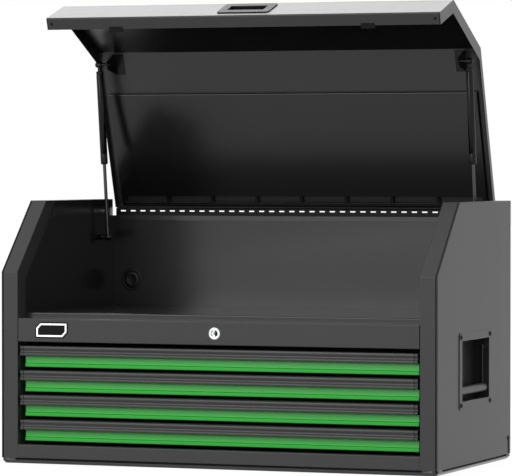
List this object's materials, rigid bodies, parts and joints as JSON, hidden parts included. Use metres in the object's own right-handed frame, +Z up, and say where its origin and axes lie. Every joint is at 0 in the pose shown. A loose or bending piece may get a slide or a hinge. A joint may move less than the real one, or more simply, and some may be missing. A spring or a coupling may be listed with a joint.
{
  "type": "tool chest",
  "caption": "Top tool chest with lift-up lid on gas struts, open top tray and full-width drawers with drop handles at both ends.",
  "frame": {"origin": "centre of the base, on the floor plane", "axes": "+X to the chest's right-hand end seen from behind the drawers' fronts facing it, +Y from the front to the back, +Z up"},
  "size_m": [1.048, 0.5663, 1.045],
  "materials": {
    "base_coat": "satin charcoal powder coat",
    "case_coat": "satin charcoal powder coat",
    "black_plastic": "moulded black plastic",
    "screw_black": "black coated steel",
    "lock_chrome": "polished plated zinc",
    "zinc_steel": "bright zinc plate",
    "badge_black": "glossy black with a bright rim",
    "lid_coat": "satin charcoal powder coat",
    "buffer_rubber": "soft black rubber",
    "strut_black": "semi-gloss black enamel",
    "strut_chrome": "hard chrome rod",
    "drawer_green": "gloss bright green",
    "pull_grey": "satin charcoal powder coat",
    "drawer_grey": "satin charcoal powder coat"
  },
  "bodies": {
    "cabinet": {"base_pan": "base_coat", "side_panel_right": "case_coat", "side_panel_left": "case_coat", "front_post_right": "case_coat", "front_post_left": "case_coat", "side_liner_right": "case_coat", "side_liner_left": "case_coat", "back_panel": "case_coat", "deck_panel": "case_coat", "front_top_rail": "case_coat", "front_bottom_rail": "case_coat", "cable_port_ring": "black_plastic", "cable_port_cap": "black_plastic", "side_screws": "screw_black", "lock_housing": "lock_chrome", "badge_plate": "badge_black", "handle_housing_right": "black_plastic", "handle_housing_left": "black_plastic", "hinge_leaf_case": "zinc_steel", "hinge_pin": "zinc_steel", "strut_wall_brackets": "lid_coat", "slide_wall_members": "zinc_steel"},
    "lid": {"lid_shell": "lid_coat", "lid_inner_panel": "lid_coat", "lid_pull": "black_plastic", "lid_buffers": "buffer_rubber", "lid_rivets": "zinc_steel", "hinge_leaf_lid": "zinc_steel", "strut_lid_brackets": "lid_coat"},
    "lock_plug": {"lock_cylinder": "lock_chrome", "lock_cam": "zinc_steel"},
    "handle_right": {"handle_bail_right": "screw_black", "handle_grip_right": "black_plastic"},
    "strut_right_cylinder": {"strut_tube_right": "strut_black"},
    "strut_right_piston": {"strut_rod_right": "strut_chrome"},
    "handle_left": {"handle_bail_left": "screw_black", "handle_grip_left": "black_plastic"},
    "strut_left_cylinder": {"strut_tube_left": "strut_black"},
    "strut_left_piston": {"strut_rod_left": "strut_chrome"},
    "drawer_1": {"drawer_1_front": "drawer_green", "drawer_1_pull": "pull_grey", "drawer_1_box": "drawer_grey", "drawer_1_slide_inners": "zinc_steel"},
    "slides_1": {"drawer_1_slide_middles": "zinc_steel"},
    "drawer_2": {"drawer_2_front": "drawer_green", "drawer_2_pull": "pull_grey", "drawer_2_box": "drawer_grey", "drawer_2_slide_inners": "zinc_steel"},
    "slides_2": {"drawer_2_slide_middles": "zinc_steel"},
    "drawer_3": {"drawer_3_front": "drawer_green", "drawer_3_pull": "pull_grey", "drawer_3_box": "drawer_grey", "drawer_3_slide_inners": "zinc_steel"},
    "slides_3": {"drawer_3_slide_middles": "zinc_steel"},
    "drawer_4": {"drawer_4_front": "drawer_green", "drawer_4_pull": "pull_grey", "drawer_4_box": "drawer_grey", "drawer_4_slide_inners": "zinc_steel"},
    "slides_4": {"drawer_4_slide_middles": "zinc_steel"}
  },
  "joints": [
    {"name": "lid_hinge", "type": "hinge", "parent": "cabinet", "child": "lid", "pos_m": [0, 0.2725, 0.5705], "axis": [1, 0, 0], "range_deg": [0, 72.2]},
    {"name": "strut_right_swing", "type": "hinge", "parent": "lid", "child": "strut_right_cylinder", "pos_m": [0.459, 0.14458, 0.91331], "axis": [1, 0, 0], "range_deg": [0, 1.02]},
    {"name": "strut_right_stroke", "type": "slide", "parent": "strut_right_cylinder", "child": "strut_right_piston", "axis": [0, -0.1248, 0.9922], "range_m": [0, 0.119]},
    {"name": "strut_left_swing", "type": "hinge", "parent": "lid", "child": "strut_left_cylinder", "pos_m": [-0.459, 0.14458, 0.91331], "axis": [1, 0, 0], "range_deg": [0, 1.02]},
    {"name": "strut_left_stroke", "type": "slide", "parent": "strut_left_cylinder", "child": "strut_left_piston", "axis": [0, -0.1248, 0.9922], "range_m": [0, 0.119]},
    {"name": "drawer_1_slide", "type": "slide", "parent": "cabinet", "child": "drawer_1", "axis": [0, -1, 0], "range_m": [0, 0.43]},
    {"name": "slides_1_slide", "type": "slide", "parent": "cabinet", "child": "slides_1", "axis": [0, -1, 0], "range_m": [0, 0.215]},
    {"name": "drawer_2_slide", "type": "slide", "parent": "cabinet", "child": "drawer_2", "axis": [0, -1, 0], "range_m": [0, 0.43]},
    {"name": "slides_2_slide", "type": "slide", "parent": "cabinet", "child": "slides_2", "axis": [0, -1, 0], "range_m": [0, 0.215]},
    {"name": "drawer_3_slide", "type": "slide", "parent": "cabinet", "child": "drawer_3", "axis": [0, -1, 0], "range_m": [0, 0.43]},
    {"name": "slides_3_slide", "type": "slide", "parent": "cabinet", "child": "slides_3", "axis": [0, -1, 0], "range_m": [0, 0.215]},
    {"name": "drawer_4_slide", "type": "slide", "parent": "cabinet", "child": "drawer_4", "axis": [0, -1, 0], "range_m": [0, 0.43]},
    {"name": "slides_4_slide", "type": "slide", "parent": "cabinet", "child": "slides_4", "axis": [0, -1, 0], "range_m": [0, 0.215]},
    {"name": "handle_right_swing", "type": "hinge", "parent": "cabinet", "child": "handle_right", "pos_m": [0.509, 0, 0.2665], "axis": [0, -1, 0], "range_deg": [0, 90]},
    {"name": "handle_left_swing", "type": "hinge", "parent": "cabinet", "child": "handle_left", "pos_m": [-0.509, 0, 0.2665], "axis": [0, 1, 0], "range_deg": [0, 90]},
    {"name": "lock_turn", "type": "hinge", "parent": "cabinet", "child": "lock_plug", "pos_m": [0, -0.27, 0.3025], "axis": [0, 1, 0], "range_deg": [0, 90]}
  ],
  "couplings": [
    {"joint": "strut_right_swing", "follows": "lid_hinge", "ratio": 0.013965},
    {"joint": "strut_right_stroke", "follows": "lid_hinge", "m_per_rad": 0.094358},
    {"joint": "strut_left_swing", "follows": "lid_hinge", "ratio": 0.013965},
    {"joint": "strut_left_stroke", "follows": "lid_hinge", "m_per_rad": 0.094358},
    {"joint": "slides_1_slide", "follows": "drawer_1_slide", "ratio": 0.5},
    {"joint": "slides_2_slide", "follows": "drawer_2_slide", "ratio": 0.5},
    {"joint": "slides_3_slide", "follows": "drawer_3_slide", "ratio": 0.5},
    {"joint": "slides_4_slide", "follows": "drawer_4_slide", "ratio": 0.5}
  ]
}
